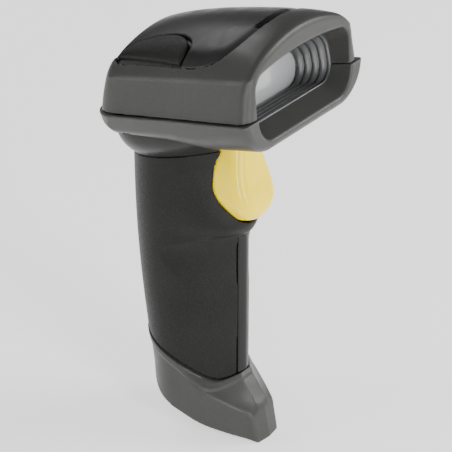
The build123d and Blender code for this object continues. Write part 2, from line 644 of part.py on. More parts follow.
cradle = tube(CELL_R + 1.9, CELL_R + 0.3, (0, CELL_Y, 38.6), (0, CELL_Y, 92.0))
cradle = cradle - block((-15, 15), (0, CELL_Y - 3.0), (38, 93))
cradle = cradle + rod(CELL_R + 1.9, (0, CELL_Y, 92.0), (0, CELL_Y, 93.4))
mast = block((-8.0, 8.0), (9.6, 11.2), (93.4, 116.0)) + block((-8.0, 8.0), (9.6, 14.0), (93.4, 95.4))
spring_seat = rod(4.0, (0, 7.4, SPRING_Z), (0, 9.6, SPRING_Z))
spring_seat = spring_seat + block((-2.5, 2.5), (8.4, 9.6), (93.4, SPRING_Z))
cradle = cradle + mast + spring_seat
save(cradle, "battery_cradle")

save(tube(2.8, 1.4, (0, CELL_Y, 89.1), (0, CELL_Y, 91.9)), "battery_top_contact")
save(rod(6.0, (0, CELL_Y, 38.9), (0, CELL_Y, 39.9)), "battery_bottom_contact")

# Trigger switch on its own small board
SWITCH_Z = 105.0
plunger = rod(1.2, (0, 2.05, SWITCH_Z), (0, 5.6, SWITCH_Z))
save(plunger, "switch_plunger")
switch = block((-3.2, 3.2), (4.2, 8.3), (SWITCH_Z - 3.3, SWITCH_Z + 3.3))
switch = switch - rod(1.25, (0, 0, SWITCH_Z), (0, 7.7, SWITCH_Z))
save(switch, "trigger_switch")
save(block((-6.5, 6.5), (8.35, 9.55), (100.8, 114.0)), "switch_board")

# Return spring between the trigger and its seat
helix = Helix((SPRING_BACK - SPRING_FRONT) / COILS, SPRING_BACK - SPRING_FRONT, 2.4)
wire_section = Plane(origin=helix @ 0, z_dir=helix % 0) * Circle(0.3)
coil = sweep(wire_section, path=helix, is_frenet=True)
save(Pos(0, SPRING_FRONT, SPRING_Z) * (Rot(-90, 0, 0) * coil), "trigger_spring")

# Leads from the battery up to the main board
leads = []
for x in (-1.6, 1.6):
    route = FilletPolyline((x, 13.0, 95.5), (x, 13.0, 112.0), (x, 20.0, 124.0), radius=6.0)
    leads.append(sweep(Plane(origin=route @ 0, z_dir=route % 0) * Circle(0.7), path=route))
save(Compound(children=leads), "battery_leads")
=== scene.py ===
import json
import math

import bpy
import numpy as np
from mathutils import Matrix, Vector


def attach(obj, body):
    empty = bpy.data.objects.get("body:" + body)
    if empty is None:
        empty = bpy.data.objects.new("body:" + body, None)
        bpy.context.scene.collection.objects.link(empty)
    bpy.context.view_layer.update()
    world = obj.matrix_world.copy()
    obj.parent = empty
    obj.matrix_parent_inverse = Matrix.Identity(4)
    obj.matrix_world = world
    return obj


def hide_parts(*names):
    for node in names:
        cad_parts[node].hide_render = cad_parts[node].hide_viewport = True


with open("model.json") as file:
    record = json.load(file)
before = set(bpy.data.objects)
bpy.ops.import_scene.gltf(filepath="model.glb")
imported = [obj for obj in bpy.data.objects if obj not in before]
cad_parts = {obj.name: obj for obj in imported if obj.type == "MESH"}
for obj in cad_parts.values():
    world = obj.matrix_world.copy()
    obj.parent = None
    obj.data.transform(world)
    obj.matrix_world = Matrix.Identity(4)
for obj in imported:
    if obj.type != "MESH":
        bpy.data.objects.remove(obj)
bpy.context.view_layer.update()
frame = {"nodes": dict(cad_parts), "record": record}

# Shells are worked out as rounded distance fields in millimetres and meshed on a fine grid.
# The head has its own frame, (x, s, n): s runs back from its front face and n rises from its parting line.
MM = 0.001
HEAD_PITCH = math.radians(13.5)
HEAD_Y, HEAD_Z = -34.5, 144.25
HEAD_LENGTH = 71.5
FUNNEL_S = 7.6
WINDOW_S = 17.6
RIB_PITCH = 2.0
MOUTH_SLOPE = 0.169
GAP = 0.3
COVER_T = 1.6
HOOD_WALL, TRAY_WALL, GRIP_WALL, FOOT_WALL = 2.6, 2.4, 2.2, 2.3
COLLAR_DEPTH = 20.2

# Head from front to back: (s, half width, foot of the roof, crown)
HEAD_STATIONS = [
    (-7.0, 32.7, 16.2, 22.2),
    (0.0, 32.5, 16.0, 25.0),
    (9.0, 32.3, 15.9, 26.2),
    (25.0, 31.4, 15.7, 26.5),
    (42.0, 30.7, 15.2, 25.8),
    (57.0, 30.1, 14.7, 23.6),
    (74.0, 29.3, 13.8, 18.6),
]
# Lower housing: (s, half width, depth, corner radius)
TRAY_STATIONS = [
    (-7.0, 34.3, 12.9, 11.3),
    (12.0, 33.7, 12.7, 9.3),
    (24.0, 32.9, 11.8, 6.2),
    (36.0, 32.3, 10.1, 5.0),
    (50.0, 31.9, 8.7, 3.4),
    (75.0, 30.8, 8.0, 3.2),
]
# Collar: (n, half width, back, nose, half width of the nose, squareness power)
COLLAR_STATIONS = [
    (-20.2, 17.3, 75.4, 29.1, 3.2, 2.0),
    (-17.6, 20.4, 75.2, 27.4, 5.0, 2.3),
    (-13.5, 23.2, 73.6, 24.0, 7.5, 3.2),
    (-7.0, 24.6, 71.6, 20.0, 9.0, 4.8),
]
# Handle: (z, half width, back)
HANDLE_STATIONS = [
    (19.0, 15.5, 27.6),
    (54.0, 16.4, 31.9),
    (84.0, 17.0, 34.0),
    (126.0, 17.3, 34.3),
]
NOSE_HALF_W = 3.2
NOSE_Y = -10.8
STRIP_TOP = 82.0
# Trigger from its tip up: (z, half width, front face)
TRIGGER_STATIONS = [
    (88.6, 2.4, -12.8),
    (89.6, 4.4, -15.0),
    (91.4, 6.4, -16.8),
    (94.4, 8.2, -17.8),
    (98.6, 9.6, -17.5),
    (103.5, 9.8, -16.0),
    (110.0, 8.8, -14.2),
    (118.0, 7.0, -12.9),
    (128.0, 6.2, -11.8),
]
TIP_Z = 88.6
PIVOT_Y, PIVOT_Z = -12.5, 131.3
PIN_HOLE_R = 1.26
BARREL_R, BARREL_HALF_W = 2.8, 8.4
TRIGGER_CORNER_R = 4.6
TRIGGER_BACK, SLOT_BACK = -3.0, 2.4
SLOT_GAP = 0.22
HEAD_SCREWS = [(-25.0, 30.0, -8.2), (25.0, 30.0, -8.2), (-26.0, 57.0, -5.6), (26.0, 57.0, -5.6)]
SCREW_HOLE_R = 2.2
FOOT_SLOPE = math.radians(15.0)
FOOT_FACE_Y, FOOT_FACE_Z = -19.0, 0.6
SOLE_Z = 0.06
CONTACT_PLACES, CONTACT_T, CONTACT_HOLE_R = (-6.6, -2.2, 2.2, 6.6), 21.8, 1.65
FOOT_SCREW_PLACES, FOOT_SCREW_Y, FOOT_SCREW_HOLE_R = (-11.6, 11.6), 13.0, 2.1


# ---------------------------------------------------------------- curves and fields
def curve(points, start=None, end=None):
    """Smooth function through (place, value) points; start and end are its slopes there."""
    place = np.array([p[0] for p in points], float)
    value = np.array([p[1] for p in points], float)
    gap = np.diff(place)
    rise = np.diff(value) / gap
    count = len(place)
    system = np.zeros((count, count))
    right = np.zeros(count)
    system[0, 0] = system[-1, -1] = 1.0
    right[0] = rise[0] if start is None else start
    right[-1] = rise[-1] if end is None else end
    for i in range(1, count - 1):
        system[i, i - 1:i + 2] = gap[i], 2 * (gap[i - 1] + gap[i]), gap[i - 1]
        right[i] = 3 * (gap[i] * rise[i - 1] + gap[i - 1] * rise[i])
    slope = np.linalg.solve(system, right)

    def at(x):
        x = np.asarray(x, float)
        inner = np.clip(x, place[0], place[-1])
        i = np.clip(np.searchsorted(place, inner) - 1, 0, count - 2)
        u = (inner - place[i]) / gap[i]
        smooth = value[i] + (value[i + 1] - value[i]) * u * u * (3 - 2 * u)
        smooth = smooth + gap[i] * (slope[i] * u * (1 - u) ** 2 - slope[i + 1] * u * u * (1 - u))
        return smooth + (x - inner) * np.where(x < place[0], slope[0], slope[-1])

    return at


def column(stations, index):
    return curve([(row[0], row[index]) for row in stations])


def path(points, samples=8, start=None, end=None):
    """Points along a smooth line through the given ones."""
    steps = [0.0]
    for a, b in zip(points, points[1:]):
        steps.append(steps[-1] + math.dist(a, b))
    along = np.linspace(0, steps[-1], samples * (len(points) - 1) + 1)
    u = curve([(t, p[0]) for t, p in zip(steps, points)], *((start[0], end[0]) if start else ()))
    v = curve([(t, p[1]) for t, p in zip(steps, points)], *((start[1], end[1]) if start else ()))
    return list(zip(u(along), v(along)))


def area(outline):
    """Signed distance to a closed outline in a plane, negative inside."""
    corners = np.array(outline, float)

    def at(u, v):
        u, v = np.broadcast_arrays(np.asarray(u, float), np.asarray(v, float))
        nearest = np.full(u.shape, 1e9)
        inside = np.zeros(u.shape, bool)
        for a, b in zip(corners, np.roll(corners, -1, axis=0)):
            edge = b - a
            length = max(edge @ edge, 1e-12)
            t = np.clip(((u - a[0]) * edge[0] + (v - a[1]) * edge[1]) / length, 0, 1)
            far = (u - a[0] - t * edge[0]) ** 2 + (v - a[1] - t * edge[1]) ** 2
            nearest = np.minimum(nearest, far)
            if a[1] != b[1]:
                crosses = (a[1] > v) != (b[1] > v)
                inside ^= crosses & (u < a[0] + (v - a[1]) * edge[0] / edge[1])
        distance = np.sqrt(nearest)
        return np.where(inside, -distance, distance)

    return at


def meet(a, b, radius=0.0):
    """What two fields share, with the edge between them rounded."""
    if np.isscalar(radius) and radius == 0.0:
        return np.maximum(a, b)
    rounded = np.hypot(np.maximum(a + radius, 0), np.maximum(b + radius, 0))
    return np.minimum(np.maximum(a, b), -radius) + rounded


def join(a, b, radius=0.0):
    return -meet(-a, -b, radius)


def cut(a, b, radius=0.0):
    return meet(a, -b, radius)


def cuboid(x, y, z, low, high, radius=0.0):
    across = meet(np.maximum(low[0] - x, x - high[0]), np.maximum(low[1] - y, y - high[1]), radius)
    return meet(across, np.maximum(low[2] - z, z - high[2]), radius)


def head_to_world(s, n):
    y = HEAD_Y + s * math.cos(HEAD_PITCH) + n * math.sin(HEAD_PITCH)
    z = HEAD_Z - s * math.sin(HEAD_PITCH) + n * math.cos(HEAD_PITCH)
    return y, z


def world_to_head(y, z):
    s = (y - HEAD_Y) * math.cos(HEAD_PITCH) - (z - HEAD_Z) * math.sin(HEAD_PITCH)
    n = (y - HEAD_Y) * math.sin(HEAD_PITCH) + (z - HEAD_Z) * math.cos(HEAD_PITCH)
    return s, n


HEAD_FRAME = Matrix.Translation((0, HEAD_Y * MM, HEAD_Z * MM)) @ Matrix.Rotation(-HEAD_PITCH, 4, "X")
WORLD = Matrix.Identity(4)
SETTLE_TURNS = 6
SMOOTHING_TURNS = (1, 2, 3)
OWN_SHARE, NEIGHBOUR_SHARE = 0.4, 0.6
LARGEST_STEP = 0.4


# ---------------------------------------------------------------- meshing
def edge_crossings(value, axis):
    """Where the field changes sign along the grid's edges in one direction."""
    first = np.take(value, range(value.shape[axis] - 1), axis)
    last = np.take(value, range(1, value.shape[axis]), axis)
    crossing = (first < 0) != (last < 0)
    share = np.where(crossing, first / np.where(crossing, first - last, 1.0), 0.0)
    return crossing, share, first < 0


def gradient(field, points, step):
    parts = []
    for axis in range(3):
        shift = np.zeros(3)
        shift[axis] = step
        parts.append((field(*(points + shift).T) - field(*(points - shift).T)) / (2 * step))
    return np.stack(parts, axis=1)


def skin(name, field, low, high, cell, body, slot, replaced, placed=WORLD):
    """A closed mesh of the surface where the field is zero, riding on a body in place of CAD nodes."""
    axes = [np.arange(a - 1.5 * cell, b + 2.5 * cell, cell) for a, b in zip(low, high)]
    grid = np.meshgrid(*axes, indexing="ij", sparse=True)
    shape = tuple(len(a) for a in axes)
    value = np.broadcast_to(field(*grid), shape)
    cells = tuple(size - 1 for size in shape)
    total = np.zeros(cells + (3,))
    count = np.zeros(cells)
    crossings = [edge_crossings(value, axis) for axis in range(3)]
    for axis, (crossing, share, _) in enumerate(crossings):
        side_a, side_b = [k for k in range(3) if k != axis]
        for da in (0, 1):
            for db in (0, 1):
                pick = [slice(None)] * 3
                pick[side_a] = slice(da, da + cells[side_a])
                pick[side_b] = slice(db, db + cells[side_b])
                here = crossing[tuple(pick)]
                count += here
                total[..., axis] += np.where(here, share[tuple(pick)], 0)
                total[..., side_a] += np.where(here, da, 0)
                total[..., side_b] += np.where(here, db, 0)
    active = count > 0
    number = np.full(cells, -1)
    number[active] = np.arange(active.sum())
    corner = np.stack(np.nonzero(active), axis=1)
    origin = np.array([a[0] for a in axes])
    points = origin + cell * (corner + total[active] / count[active][:, None])

    quads = []
    for axis, (crossing, _, rising) in enumerate(crossings):
        side_a, side_b = [(1, 2), (2, 0), (0, 1)][axis]
        at = np.stack(np.nonzero(crossing), axis=1)
        at = at[(at[:, side_a] > 0) & (at[:, side_b] > 0)]
        at = at[(at[:, side_a] < cells[side_a]) & (at[:, side_b] < cells[side_b])]
        outward = rising[tuple(at.T)]
        ring = []
        for da, db in ((1, 1), (0, 1), (0, 0), (1, 0)):
            step = at.copy()
            step[:, side_a] -= da
            step[:, side_b] -= db
            ring.append(number[tuple(step.T)])
        ring = np.stack(ring, axis=1)
        ring[~outward] = ring[~outward][:, ::-1]
        quads.append(ring)
    quads = np.concatenate(quads)

    sides = np.concatenate([quads[:, (k, (k + 1) % 4)] for k in range(4)])
    partners = np.bincount(sides[:, 0], minlength=len(points))[:, None]
    for turn in range(SETTLE_TURNS):
        if turn in SMOOTHING_TURNS:
            sums = [np.bincount(sides[:, 0], points[sides[:, 1], k], len(points)) for k in range(3)]
            points = OWN_SHARE * points + NEIGHBOUR_SHARE * np.stack(sums, axis=1) / partners
        slope = gradient(field, points, 0.02)
        size = np.maximum((slope ** 2).sum(1), 0.05)
        move = -(field(*points.T) / size)[:, None] * slope
        points = points + np.clip(move, -LARGEST_STEP * cell, LARGEST_STEP * cell)
    slope = gradient(field, points, 0.06)
    normals = slope / np.maximum(np.linalg.norm(slope, axis=1), 1e-9)[:, None]

    mesh = bpy.data.meshes.new(name)
    mesh.from_pydata((points * MM).tolist(), [], quads.tolist())
    mesh.update()
    mesh.transform(placed)
    rotation = np.array(placed.to_3x3())
    mesh.shade_smooth()
    mesh.normals_split_custom_set_from_vertices((normals @ rotation.T).tolist())
    piece = bpy.data.objects.new(name, mesh)
    bpy.context.scene.collection.objects.link(piece)
    piece.data.materials.append(MATERIALS[slot])
    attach(piece, body)
    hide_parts(*replaced)
    return piece


# ---------------------------------------------------------------- head fields
head_half = column(HEAD_STATIONS, 1)
head_high = column(HEAD_STATIONS, 2)
head_crown = column(HEAD_STATIONS, 3)
lower_crease = curve([(0, 10.6), (35, 9.4), (72, 7.6)])
upper_crease = curve([(0, 15.2), (35, 14.4), (72, 12.4)])
tray_half = column(TRAY_STATIONS, 1)
tray_depth = column(TRAY_STATIONS, 2)
tray_corner = column(TRAY_STATIONS, 3)


def front_face(s, n, start):
    """In front of the leaning front face this is positive."""
    return (start - MOUTH_SLOPE * n - s) / math.hypot(1, MOUTH_SLOPE)


def arched_roof(x, n, half, shoulder, crown):
    """Round roof that rises from its shoulders to its crown."""
    rise = crown - shoulder
    radius = (half * half + rise * rise) / (2 * rise)
    above = n > crown - radius
    return np.where(above, np.hypot(x, n - crown + radius), np.abs(x)) - radius


def hood_outer(x, s, n):
    side = np.abs(x)
    half, high = head_half(s), head_high(s)
    first, second = lower_crease(s), upper_crease(s)
    wall = (side - half + 1.9 * n / first) * 0.978
    band = (side - half + 1.9 + 1.5 * (n - first) / (second - first)) * 0.94
    shoulder = (side - half + 3.4) * 0.78 + (n - second) * 0.62
    roof = arched_roof(x, n, half - 3.9, high, head_crown(s))
    body = meet(meet(wall, band, 0.4), meet(shoulder, roof, 3.0), 0.5)
    plan_half = 36.0 - 6.2 * (s + 12.0) / 83.5
    taper = math.tan(math.radians(11.0))
    plan = meet(side - plan_half + taper * n, s - HEAD_LENGTH + taper * n, 13.0)
    back = (s - HEAD_LENGTH + 0.358 * n) * 0.941
    slope = (s - 63.8) * 0.815 + (n - 15.55) * 0.579 - 1.0
    rear = meet(meet(plan, back, 1.0), slope, 6.0)
    return meet(body, rear, 2.5)


def mouth(x, s, n):
    """The opening that narrows from the front face back to the ribbed funnel."""
    depth = np.clip((s + 10.0) / (FUNNEL_S + 10.0), 0, 1.05)
    half = 27.0 - 0.7 * depth
    low = -18.4 + 13.6 * depth
    high = 19.0 - 5.6 * depth
    arch = (3.0 - 0.6 * depth) * (x / half) ** 2
    walls = meet(np.abs(x) - half, (low - n) * 0.8, 11.0 - 4.0 * depth)
    opening = meet(walls, (n - high + arch) * 0.95, 4.5)
    return np.maximum(opening, s - FUNNEL_S - 12.0)


def funnel(x, s, n):
    """Block with a narrowing opening whose walls are a row of round ribs."""
    depth = (s - FUNNEL_S) / (WINDOW_S - FUNNEL_S)
    half = 26.2 - 8.0 * depth
    low = -4.8 + 0.9 * depth
    high = 13.3 - 3.7 * depth - 1.6 * (x / half) ** 2
    rib = 0.75 * np.abs(np.cos(math.pi * (s - FUNNEL_S - 0.4) / RIB_PITCH)) - 0.35
    opening = meet(meet(np.abs(x) - half, low - n, 6.8), n - high, 5.5) + rib
    opening = np.maximum(opening * 0.75, s - WINDOW_S - 0.05)
    seat = cuboid(x, s, n, (-20.0, WINDOW_S - 0.05, -5.4), (20.0, 30.0, 11.4))
    block = cuboid(x, s, n, (-27.2, FUNNEL_S + 0.05, -7.2), (27.2, WINDOW_S + 2.6, 15.4), 0.3)
    block = meet(block, hood_outer(x, s, n) + 2.0)
    return cut(cut(block, opening, 0.2), seat)


cover_front = path(
    [(0, 5.9), (7.5, 6.5), (14.0, 7.8), (20.4, 10.8), (24.2, 17.0), (25.0, 26.0)], 5, (1, 0), (0, 1)
)
cover_back = [(23.0, 56.0), (22.6, 58.6), (21.6, 60.6), (19.8, 61.9), (17.5, 62.6), (8.0, 63.2), (0, 63.4)]
cover_right = cover_front + cover_back
cover_plan = area(cover_right + [(-x, s) for x, s in reversed(cover_right[1:-1])])
teardrop_rear = [(20.8, 60.4), (17.2, 58.6), (14.4, 52.5), (13.2, 43.0)]
pad_edge = path(teardrop_rear + [(14.6, 34.6), (19.0, 29.8), (24.4, 30.4)], 5)
pad_plan = area(pad_edge)
hole_edge = path(teardrop_rear + [(14.6, 33.4), (19.0, 28.6), (24.4, 29.8)], 5)
hole_plan = area(hole_edge + [(30.0, 29.8), (30.0, 61.0)])


def hood(x, s, n):
    outer = hood_outer(x, s, n)
    face = front_face(s, n, 0.25)
    bevel = (outer + face) * 0.707 + np.interp(n, (9.0, 19.0), (1.75, 0.8))
    body = meet(meet(outer, face, 1.0), bevel, 1.0)
    body = cut(body, mouth(x, s, n), 0.7)
    body = cut(body, np.maximum(outer + HOOD_WALL, FUNNEL_S + 0.3 - s))
    body = cut(body, np.maximum(cover_plan(np.abs(x), s) - GAP, -outer - COVER_T - 0.1), 0.35)
    return meet(body, GAP / 2 - n, 0.3)


def cover_top(x, s, n):
    """Top of the cover, which falls away in a bevel along its edge."""
    outer = hood_outer(x, s, n)
    bevel = cover_plan(x, s) * 0.21 + outer * 0.978 + 0.62
    return meet(outer, bevel, 0.25)


def cover(x, s, n):
    plan = cover_plan(x, s)
    body = meet(meet(cover_top(x, s, n), plan, 0.25), -hood_outer(x, s, n) - COVER_T)
    body = cut(body, hole_plan(np.abs(x), s), 0.3)
    return cut(body, cuboid(x, s, n, (-8.8, 4.0, 10), (8.8, 9.4, 40)), 0.2)


def light_bar(x, s, n):
    top = meet(cover_top(x, s, n) + 0.12, -hood_outer(x, s, n) - COVER_T)
    block = cuboid(x, s, n, (-8.65, 4.0, 10), (8.65, 9.25, 40), 0.2)
    return meet(meet(top, cover_plan(x, s), 0.3), block, 0.2)


def pad(x, s, n):
    """Teardrop pad: a low crown with a bevel along its inner edge."""
    outer = hood_outer(x, s, n)
    plan = pad_plan(x, s)
    inset = np.maximum(plan + GAP, cover_plan(x, s))
    crown = outer - 0.3
    bevel = plan * 0.42 + outer * 0.908 + 0.25
    body = meet(meet(crown, bevel, 0.4), inset, 0.3)
    return meet(body, -outer - COVER_T + 0.1)


def tray_outer(x, s, n):
    side = np.abs(x)
    half, depth = tray_half(s), tray_depth(s)
    wall = (side - half - 3.2 * n / depth) * 0.97
    bottom = -depth - n
    body = meet(wall, bottom, tray_corner(s))
    plan_half = 35.4 - 4.7 * (s + 12.0) / 84.7
    back = s - HEAD_LENGTH - 1.2 - 0.12 * n
    rear = meet(side - plan_half - 0.12 * n, back, 14.0)
    return meet(body, meet(rear, bottom, 5.0))


def tray(x, s, n):
    outer = tray_outer(x, s, n)
    body = meet(outer, front_face(s, n, -0.45), 2.4)
    body = cut(body, mouth(x, s, n), 0.8)
    body = cut(body, np.maximum(outer + TRAY_WALL, FUNNEL_S + 0.3 - s))
    body = cut(body, cuboid(x, s, n, (-9.2, 15.0, -18.0), (9.2, 36.0, -4.0), 1.0), 0.3)
    for place, along, seat in HEAD_SCREWS:
        body = cut(body, np.maximum(np.hypot(x - place, s - along) - SCREW_HOLE_R, n - seat), 0.2)
    return meet(body, n, 0.5)


# ---------------------------------------------------------------- grip fields
flank = curve([(0.0, 1.0), (0.36, 0.9), (0.68, 0.65), (0.975, 0.188)], 0.0, -2.1)


def grip(x, y, half, back, nose, nose_half, power=2.0):
    """Round back, flanks that taper forward and a narrow rounded nose."""
    centre = back - half
    t = np.clip((centre - y) / (centre - nose), 0, 1.1)
    width = half * (flank(t) + (nose_half / half - 0.188) * (t / 0.975) ** 2)
    side = np.abs(x)
    front = (side - width) * (1 - 0.45 * np.clip(t, 0, 1) ** 2)
    front = meet(front, nose + 0.7 * (x / nose_half) ** 2 - y, 1.6)
    deep = np.maximum(y - centre, 0)
    behind = (side ** power + deep ** power) ** (1 / power) - half
    return np.where(y > centre, behind, front)


handle_half = column(HANDLE_STATIONS, 1)
handle_back = column(HANDLE_STATIONS, 2)
chin_front = curve([
    (60, -10.8), (80, -10.85), (83, -11.3), (86.5, -12.4),
    (90, -12.6), (95, -12.0), (104, -11.0), (126, -10.9),
])
chin_half = curve([(60, 3.2), (80, 3.25), (83, 3.9), (87, 5.5), (92, 5.4), (98, 4.2), (106, 3.3), (126, 3.2)])
saddle = curve(
    [(-20, 31), (-9, 24.6), (-5, 23), (-1, 24), (5.5, 27.6), (14.5, 31.6), (27.5, 36.5), (40, 42)], -0.6, 0.45
)
trigger_half = column(TRIGGER_STATIONS, 1)
trigger_front = column(TRIGGER_STATIONS, 2)


def slope_of(function, at, step=0.2):
    return (function(at + step) - function(at - step)) / (2 * step)


def trigger_blade(x, y, z, grow, back):
    """Squeeze trigger: round front corners and a round tip."""
    tip = trigger_half(TIP_Z) + (z - TIP_Z) * 2.2
    half = np.where(z < TIP_Z, tip, trigger_half(z))
    steep = np.hypot(1, np.clip(slope_of(trigger_half, z), -0.3, 3.0))
    side = (np.abs(x) - half) / steep - grow
    lean = np.hypot(1, np.clip(slope_of(trigger_front, z), -2.5, 1.0))
    front = (trigger_front(np.maximum(z, TIP_Z)) - y) / lean
    body = meet(side, front - grow * 40, TRIGGER_CORNER_R)
    return meet(meet(body, TIP_Z - 0.4 - grow - z, 0.3), y - back, 0.4)


def trigger_slot(x, y, z):
    return trigger_blade(x, y, z, SLOT_GAP, SLOT_BACK)


def grip_body(x, y, z):
    core = grip(x, y, handle_half(z), handle_back(z), chin_front(z), chin_half(z))
    step = np.clip((z - 82.3 + 0.02 * (y + 10.0) ** 2) / 2.6, 0, 1)
    fade = np.clip((6.0 - y) / 13.0, 0, 1)
    lift = 0.85 * step * step * (3 - 2 * step) * fade * np.clip((112.0 - z) / 20.0, 0, 1)
    return core - lift


def handle(x, y, z):
    s, n = world_to_head(y, z)
    outer = grip_body(x, y, z)
    body = cut(outer, outer + GRIP_WALL)
    body = meet(body, n + COLLAR_DEPTH + GAP / 2, 0.35)
    body = meet(body, (saddle(y) + GAP / 2 - z) * 0.9, 0.3)
    groove = cuboid(x, y, z, (-NOSE_HALF_W, -30, 0), (NOSE_HALF_W, -7.4, STRIP_TOP + 0.2))
    return cut(cut(body, groove, 0.5), trigger_slot(x, y, z), 0.5)


def strip(x, y, z):
    outer = grip(x, y, handle_half(z), handle_back(z), NOSE_Y, NOSE_HALF_W)
    body = meet(cut(outer, outer + 2.0), y + 8.7)
    body = meet(body, np.abs(x) - NOSE_HALF_W + 0.22, 0.5)
    return meet(meet(body, z - STRIP_TOP, 0.3), (saddle(y) + GAP / 2 - z) * 0.9, 0.3)


collar_back = column(COLLAR_STATIONS, 2)
collar_half = column(COLLAR_STATIONS, 1)
collar_nose = column(COLLAR_STATIONS, 3)
collar_tip = column(COLLAR_STATIONS, 4)
collar_power = column(COLLAR_STATIONS, 5)
window_edge = path([
    (-14.0, 87.4), (-11.8, 87.5), (-8.2, 89.2), (-5.1, 93.1), (-2.9, 98.4), (-2.3, 103.6),
    (-3.7, 112.2), (-5.5, 118.2), (-6.0, 135.0),
], 4)
window_area = area(window_edge + [(-45.0, 135.0), (-45.0, 87.4)])


def collar(x, s, n):
    y, z = head_to_world(s, n)
    half = collar_half(n)
    steep = np.hypot(1, slope_of(collar_half, n))
    power = np.clip(collar_power(n), 2.0, 5.0)
    outer = grip(x, s, half, collar_back(n), collar_nose(n), collar_tip(n), power) / steep
    body = cut(outer, outer + GRIP_WALL)
    body = cut(body, tray_outer(x, s, n) - GAP, 0.3)
    body = meet(body, -COLLAR_DEPTH - n, 0.4)
    body = cut(body, window_area(y, z), 0.4)
    return cut(meet(body, n + 4.5), trigger_slot(x, y, z), 0.3)


def trigger(x, y, z):
    s, n = world_to_head(y, z)
    blade = meet(trigger_blade(x, y, z, 0.0, TRIGGER_BACK), n + 13.3, 0.4)
    stem = cuboid(x, y, z, (-6.5, PIVOT_Y - 0.4, 119.0), (6.5, PIVOT_Y + 5.5, PIVOT_Z), 0.3)
    barrel = meet(np.hypot(y - PIVOT_Y, z - PIVOT_Z) - BARREL_R, np.abs(x) - BARREL_HALF_W, 0.3)
    body = join(blade, join(stem, barrel, 0.8), 0.5)
    body = join(body, cuboid(x, y, z, (-2.2, -5.0, 102.5), (2.2, 1.7, 107.0), 0.3))
    return cut(body, np.hypot(y - PIVOT_Y, z - PIVOT_Z) - PIN_HOLE_R)


# ---------------------------------------------------------------- foot fields
# Toe from front to back: (y, half width, shoulder, top, flare)
TOE_STATIONS = [
    (-24.0, 5.0, 6.0, 7.5, 0.4),
    (-17.3, 7.4, 12.6, 15.2, 0.4),
    (-13.5, 9.5, 14.4, 20.3, 0.4),
    (-9.7, 11.4, 16.1, 25.2, 0.4),
    (-2.1, 14.6, 19.6, 34.0, 0.3),
    (4.8, 15.7, 25.0, 39.0, 0.1),
    (11.9, 15.9, 33.0, 42.0, -0.25),
]
toe_half = column(TOE_STATIONS, 1)
toe_shoulder = column(TOE_STATIONS, 2)
toe_top = column(TOE_STATIONS, 3)
toe_flare = column(TOE_STATIONS, 4)
heel_half = curve([(-4, 15.6), (26, 16.0), (45, 16.4)])
heel_back = curve([(-4, 26.4), (26, 27.9), (45, 31.4)])
heel_edge = path([(9.0, 8.1), (20.0, 12.2), (25.6, 17.5), (27.4, 25.0)], 6, (0.966, 0.259), (0.1, 1))
sole = [(-26.0, SOLE_Z), (-20.9, SOLE_Z), (9.0, 8.1)] + heel_edge[1:]
sole_area = area(sole + [(27.6, 60.0), (-40.0, 60.0), (-40.0, SOLE_Z)])


def foot_outer(x, y, z):
    half, shoulder, top = toe_half(y), toe_shoulder(y), toe_top(y)
    steep = np.hypot(1, slope_of(toe_half, y))
    wall = (np.abs(x) - half - toe_flare(y) * (shoulder - z) / (shoulder + 4)) / steep
    inward = np.clip((half - np.abs(x)) / (half - 3.0), -0.3, 1.0)
    rise = np.maximum(top - shoulder, 0.8)
    ridge = z - shoulder - rise * inward * (0.7 + 0.3 * inward)
    crown = ridge / np.hypot(1, rise / (half - 3.0)) / np.hypot(1, slope_of(toe_top, y) * 0.6)
    toe = meet(meet(wall, crown, 0.7), y - 11.9)
    heel = meet(grip(x, y, heel_half(z), heel_back(z), -10.9, NOSE_HALF_W), -y)
    body = join(toe, heel, 0.5)
    face = (-22.0 + 0.1333 * np.abs(x) + 0.22 * z - y) * 0.96
    body = meet(body, face, 0.9)
    return meet(body, sole_area(y, z), 0.7)


def foot(x, y, z):
    outer = foot_outer(x, y, z)
    t = (y - FOOT_FACE_Y) * math.cos(FOOT_SLOPE) + (z - FOOT_FACE_Z) * math.sin(FOOT_SLOPE)
    height = -(y - FOOT_FACE_Y) * math.sin(FOOT_SLOPE) + (z - FOOT_FACE_Z) * math.cos(FOOT_SLOPE)
    rim_gap = z - saddle(y) + GAP / 2
    rim = meet(outer - 0.35, -rim_gap - 2.6, 0.5)
    body = join(outer, rim, 0.8)
    body = meet(body, rim_gap * 0.9, 0.5)
    neck = grip(x, y, handle_half(z), handle_back(z), NOSE_Y, NOSE_HALF_W)
    hollow = np.maximum(outer + FOOT_WALL, np.minimum(neck + 2.0, z - saddle(y) + 2.4))
    body = cut(body, np.maximum(hollow, 3.4 - height), 0.2)
    for place in CONTACT_PLACES:
        hole = np.maximum(np.hypot(x - place, t - CONTACT_T) - CONTACT_HOLE_R, height - 5.0)
        body = cut(body, hole, 0.25)
    for place in FOOT_SCREW_PLACES:
        hole = np.maximum(np.hypot(x - place, y - FOOT_SCREW_Y) - FOOT_SCREW_HOLE_R, z - 15.0)
        body = cut(body, hole, 0.25)
    return body


